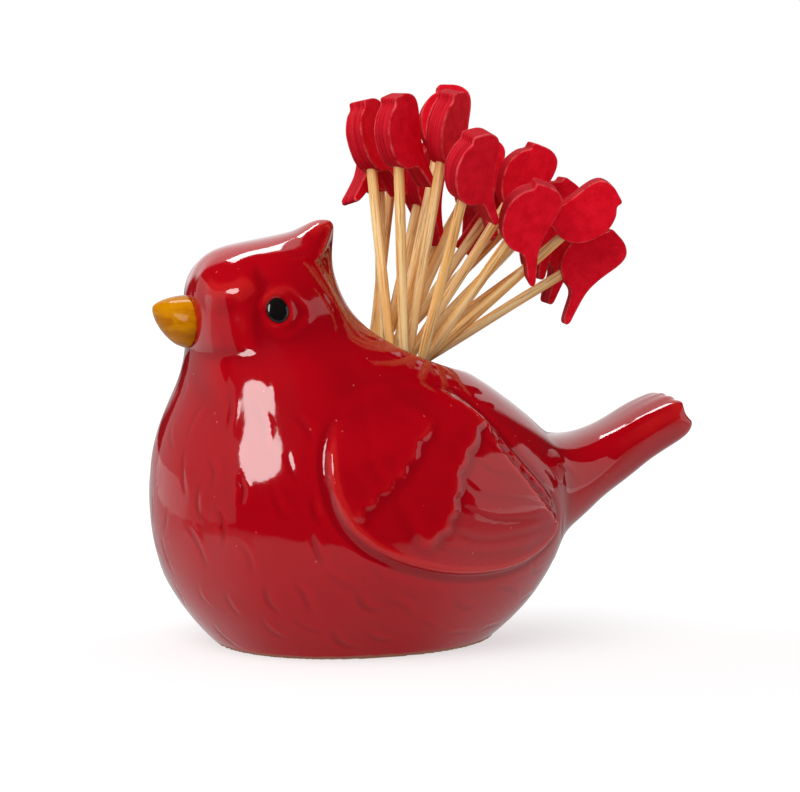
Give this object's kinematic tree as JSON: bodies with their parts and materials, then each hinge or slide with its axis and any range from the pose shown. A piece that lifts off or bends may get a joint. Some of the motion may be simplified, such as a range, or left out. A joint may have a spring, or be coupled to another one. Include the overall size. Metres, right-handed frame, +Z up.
{
  "type": "toothpick holder",
  "caption": "Hollow ceramic songbird with a pointed crest and a raised tail. A bunch of bamboo picks with flat bird-shaped wooden tags stands in the round mouth in its back.",
  "frame": {"origin": "centre of the flat foot, on the surface the bird stands on", "axes": "+Z up, -X where the beak points, +Y the bird's right side; the bird's halves mirror each other in the XZ plane"},
  "size_m": [0.1271, 0.0816, 0.1264],
  "materials": {
    "red_glaze": "deep red gloss glaze over a moulded body",
    "yellow_glaze": "mustard gloss glaze, a little streaked",
    "black_glaze": "black gloss glaze",
    "bamboo": "bare round bamboo with fine lengthwise fibres",
    "painted_wood": "matt red paint on thin plywood, thin at the edges"
  },
  "bodies": {
    "holder": {"bird_casting": "red_glaze", "beak": "yellow_glaze", "left_eye": "black_glaze", "right_eye": "black_glaze"},
    "pick_01": {"pick_01_shaft": "bamboo", "pick_01_tag": "painted_wood"},
    "pick_02": {"pick_02_shaft": "bamboo", "pick_02_tag": "painted_wood"},
    "pick_03": {"pick_03_shaft": "bamboo", "pick_03_tag": "painted_wood"},
    "pick_04": {"pick_04_shaft": "bamboo", "pick_04_tag": "painted_wood"},
    "pick_05": {"pick_05_shaft": "bamboo", "pick_05_tag": "painted_wood"},
    "pick_06": {"pick_06_shaft": "bamboo", "pick_06_tag": "painted_wood"},
    "pick_07": {"pick_07_shaft": "bamboo", "pick_07_tag": "painted_wood"},
    "pick_08": {"pick_08_shaft": "bamboo", "pick_08_tag": "painted_wood"},
    "pick_09": {"pick_09_shaft": "bamboo", "pick_09_tag": "painted_wood"},
    "pick_10": {"pick_10_shaft": "bamboo", "pick_10_tag": "painted_wood"},
    "pick_11": {"pick_11_shaft": "bamboo", "pick_11_tag": "painted_wood"},
    "pick_12": {"pick_12_shaft": "bamboo", "pick_12_tag": "painted_wood"},
    "pick_13": {"pick_13_shaft": "bamboo", "pick_13_tag": "painted_wood"},
    "pick_14": {"pick_14_shaft": "bamboo", "pick_14_tag": "painted_wood"},
    "pick_15": {"pick_15_shaft": "bamboo", "pick_15_tag": "painted_wood"},
    "pick_16": {"pick_16_shaft": "bamboo", "pick_16_tag": "painted_wood"},
    "pick_17": {"pick_17_shaft": "bamboo", "pick_17_tag": "painted_wood"},
    "pick_18": {"pick_18_shaft": "bamboo", "pick_18_tag": "painted_wood"}
  },
  "joints": [
    {"name": "pick_01_lift", "type": "slide", "parent": "holder", "child": "pick_01", "axis": [-0.0685, 0.1359, 0.9883], "range_m": [0, 0.085]},
    {"name": "pick_02_lift", "type": "slide", "parent": "holder", "child": "pick_02", "axis": [-0.0614, -0.1028, 0.9928], "range_m": [0, 0.085]},
    {"name": "pick_03_lift", "type": "slide", "parent": "holder", "child": "pick_03", "axis": [0.1328, -0.1402, 0.9812], "range_m": [0, 0.085]},
    {"name": "pick_04_lift", "type": "slide", "parent": "holder", "child": "pick_04", "axis": [0.1247, -0.3685, 0.9212], "range_m": [0, 0.085]},
    {"name": "pick_05_lift", "type": "slide", "parent": "holder", "child": "pick_05", "axis": [0.4736, -0.3547, 0.8062], "range_m": [0, 0.085]},
    {"name": "pick_06_lift", "type": "slide", "parent": "holder", "child": "pick_06", "axis": [0.3029, 0.2931, 0.9068], "range_m": [0, 0.085]},
    {"name": "pick_07_lift", "type": "slide", "parent": "holder", "child": "pick_07", "axis": [0.2328, 0.0776, 0.9694], "range_m": [0, 0.085]},
    {"name": "pick_08_lift", "type": "slide", "parent": "holder", "child": "pick_08", "axis": [0.6157, 0.1921, 0.7642], "range_m": [0, 0.085]},
    {"name": "pick_09_lift", "type": "slide", "parent": "holder", "child": "pick_09", "axis": [0.7367, 0.3274, 0.5917], "range_m": [0, 0.085]},
    {"name": "pick_10_lift", "type": "slide", "parent": "holder", "child": "pick_10", "axis": [0.5289, -0.1089, 0.8417], "range_m": [0, 0.085]},
    {"name": "pick_11_lift", "type": "slide", "parent": "holder", "child": "pick_11", "axis": [0.8343, -0.1772, 0.5221], "range_m": [0, 0.085]},
    {"name": "pick_12_lift", "type": "slide", "parent": "holder", "child": "pick_12", "axis": [0.6894, -0.2732, 0.6709], "range_m": [0, 0.085]},
    {"name": "pick_13_lift", "type": "slide", "parent": "holder", "child": "pick_13", "axis": [0.8345, 0.0521, 0.5485], "range_m": [0, 0.085]},
    {"name": "pick_14_lift", "type": "slide", "parent": "holder", "child": "pick_14", "axis": [0.0857, 0.3249, 0.9419], "range_m": [0, 0.085]},
    {"name": "pick_15_lift", "type": "slide", "parent": "holder", "child": "pick_15", "axis": [0.238, 0.4747, 0.8474], "range_m": [0, 0.085]},
    {"name": "pick_16_lift", "type": "slide", "parent": "holder", "child": "pick_16", "axis": [0.4424, 0.1093, 0.8901], "range_m": [0, 0.085]},
    {"name": "pick_17_lift", "type": "slide", "parent": "holder", "child": "pick_17", "axis": [0.5651, 0.4112, 0.7153], "range_m": [0, 0.085]},
    {"name": "pick_18_lift", "type": "slide", "parent": "holder", "child": "pick_18", "axis": [0.7102, -0.019, 0.7037], "range_m": [0, 0.085]}
  ]
}
